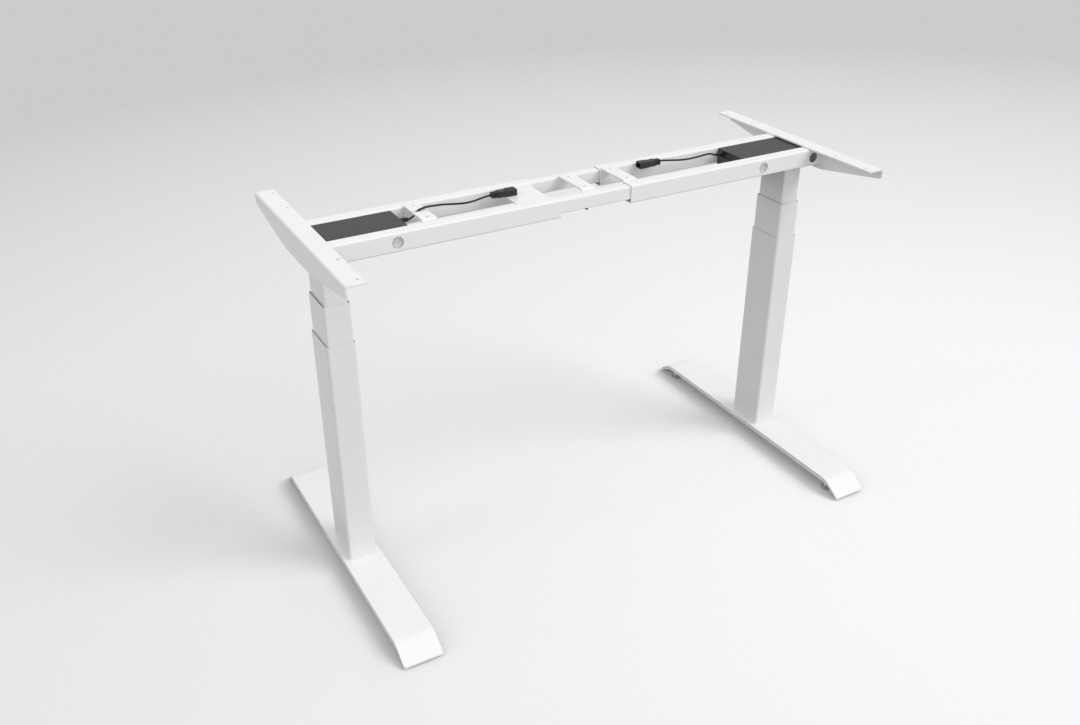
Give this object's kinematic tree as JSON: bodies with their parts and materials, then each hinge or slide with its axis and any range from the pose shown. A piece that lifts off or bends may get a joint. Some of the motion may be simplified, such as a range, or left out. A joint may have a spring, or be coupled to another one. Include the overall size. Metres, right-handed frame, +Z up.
{
  "type": "height-adjustable table frame",
  "caption": "White sit-stand table frame: lifting columns of nested square tubes on flat feet, telescoping cross beam, table brackets and spindle drives with motor leads.",
  "frame": {"origin": "floor, midway between the legs and on the feet's middle line", "axes": "+X along the beam to the right leg, +Y to the rear, +Z up"},
  "size_m": [1.167, 0.7, 0.7517],
  "materials": {
    "powder_coat": "satin white powder coat on steel",
    "case_coat": "dark grey satin coat on sheet steel",
    "steel": "turned, oiled",
    "motor_steel": "black zinc",
    "screw_black": "black oxide",
    "bronze": "cut",
    "black_plastic": "moulded nylon",
    "lead_sheath": "extruded PVC",
    "pad_plastic": "moulded",
    "glide_plastic": "acetal",
    "cap_plastic": "moulded"
  },
  "bodies": {
    "left_base": {"left_foot": "powder_coat", "left_levellers": "pad_plastic", "left_column_plate": "steel", "left_column_bolts": "steel", "left_outer_tube": "powder_coat", "left_fixed_rod": "steel"},
    "left_middle": {"left_middle_tube": "powder_coat", "left_middle_end": "steel", "left_lower_glides": "glide_plastic", "left_nut_post": "steel"},
    "left_drive": {"left_drive_tube": "steel"},
    "left_top": {"left_inner_tube": "powder_coat", "left_upper_glides": "glide_plastic", "left_motor": "motor_steel", "left_case": "case_coat", "left_case_lid": "case_coat", "left_socket": "black_plastic", "left_front_rail": "powder_coat", "left_rear_rail": "powder_coat", "left_port_plugs": "cap_plastic", "left_cross_plate": "powder_coat", "left_bracket": "powder_coat", "left_lead": "lead_sheath", "left_connector": "black_plastic", "left_end_plate": "powder_coat"},
    "left_spindle": {"left_screw": "steel", "left_worm_wheel": "bronze"},
    "left_worm_shaft": {"left_worm": "steel"},
    "right_base": {"right_foot": "powder_coat", "right_levellers": "pad_plastic", "right_column_plate": "steel", "right_column_bolts": "steel", "right_outer_tube": "powder_coat", "right_fixed_rod": "steel"},
    "right_middle": {"right_middle_tube": "powder_coat", "right_middle_end": "steel", "right_lower_glides": "glide_plastic", "right_nut_post": "steel"},
    "right_drive": {"right_drive_tube": "steel"},
    "right_top": {"right_inner_tube": "powder_coat", "right_upper_glides": "glide_plastic", "right_motor": "motor_steel", "right_case": "case_coat", "right_case_lid": "case_coat", "right_socket": "black_plastic", "right_front_rail": "powder_coat", "right_rear_rail": "powder_coat", "right_port_plugs": "cap_plastic", "right_cross_plate": "powder_coat", "right_bracket": "powder_coat", "right_lead": "lead_sheath", "right_connector": "black_plastic", "right_rest_tab": "powder_coat"},
    "right_spindle": {"right_screw": "steel", "right_worm_wheel": "bronze"},
    "right_worm_shaft": {"right_worm": "steel"},
    "beam_centre": {"ladder_front_rail": "powder_coat", "ladder_rear_rail": "powder_coat", "ladder_plate": "powder_coat", "ladder_screws": "screw_black"}
  },
  "joints": [
    {"name": "left_lower_lift", "type": "slide", "parent": "left_base", "child": "left_middle", "axis": [0, 0, 1], "range_m": [-0.075, 0.25]},
    {"name": "left_upper_lift", "type": "slide", "parent": "left_middle", "child": "left_top", "axis": [0, 0, 1], "range_m": [-0.075, 0.25]},
    {"name": "left_width", "type": "slide", "parent": "left_top", "child": "beam_centre", "axis": [1, 0, 0], "range_m": [-0.06, 0.15]},
    {"name": "right_width", "type": "slide", "parent": "beam_centre", "child": "right_top", "axis": [1, 0, 0], "range_m": [-0.06, 0.15]},
    {"name": "right_upper_lift", "type": "slide", "parent": "right_top", "child": "right_middle", "axis": [0, 0, -1], "range_m": [-0.075, 0.25]},
    {"name": "right_lower_lift", "type": "slide", "parent": "right_middle", "child": "right_base", "axis": [0, 0, -1], "range_m": [-0.075, 0.25]},
    {"name": "left_drive_turn", "type": "hinge", "parent": "left_middle", "child": "left_drive", "pos_m": [-0.534, 0, 0.125], "axis": [0, 0, 1], "range_deg": [-1351, 4501]},
    {"name": "left_screw_turn", "type": "hinge", "parent": "left_top", "child": "left_spindle", "pos_m": [-0.534, 0, 0.7], "axis": [0, 0, 1], "range_deg": [-1351, 4501]},
    {"name": "left_worm_turn", "type": "hinge", "parent": "left_top", "child": "left_worm_shaft", "pos_m": [-0.534, 0.0263, 0.718], "axis": [1, 0, 0], "range_deg": [-13501, 45001]},
    {"name": "right_drive_turn", "type": "hinge", "parent": "right_middle", "child": "right_drive", "pos_m": [0.534, 0, 0.125], "axis": [0, 0, 1], "range_deg": [-1351, 4501]},
    {"name": "right_screw_turn", "type": "hinge", "parent": "right_top", "child": "right_spindle", "pos_m": [0.534, 0, 0.7], "axis": [0, 0, 1], "range_deg": [-1351, 4501]},
    {"name": "right_worm_turn", "type": "hinge", "parent": "right_top", "child": "right_worm_shaft", "pos_m": [0.534, 0.0263, 0.718], "axis": [1, 0, 0], "range_deg": [-13501, 45001]}
  ],
  "couplings": [
    {"joint": "left_upper_lift", "follows": "left_lower_lift", "ratio": 1},
    {"joint": "right_upper_lift", "follows": "left_lower_lift", "ratio": 1},
    {"joint": "right_lower_lift", "follows": "left_lower_lift", "ratio": 1},
    {"joint": "left_drive_turn", "follows": "left_lower_lift", "rad_per_m": 314.16},
    {"joint": "left_screw_turn", "follows": "left_lower_lift", "rad_per_m": 314.16},
    {"joint": "left_worm_turn", "follows": "left_lower_lift", "rad_per_m": 3141.6},
    {"joint": "right_drive_turn", "follows": "left_lower_lift", "rad_per_m": 314.16},
    {"joint": "right_screw_turn", "follows": "left_lower_lift", "rad_per_m": 314.16},
    {"joint": "right_worm_turn", "follows": "left_lower_lift", "rad_per_m": 3141.6}
  ]
}
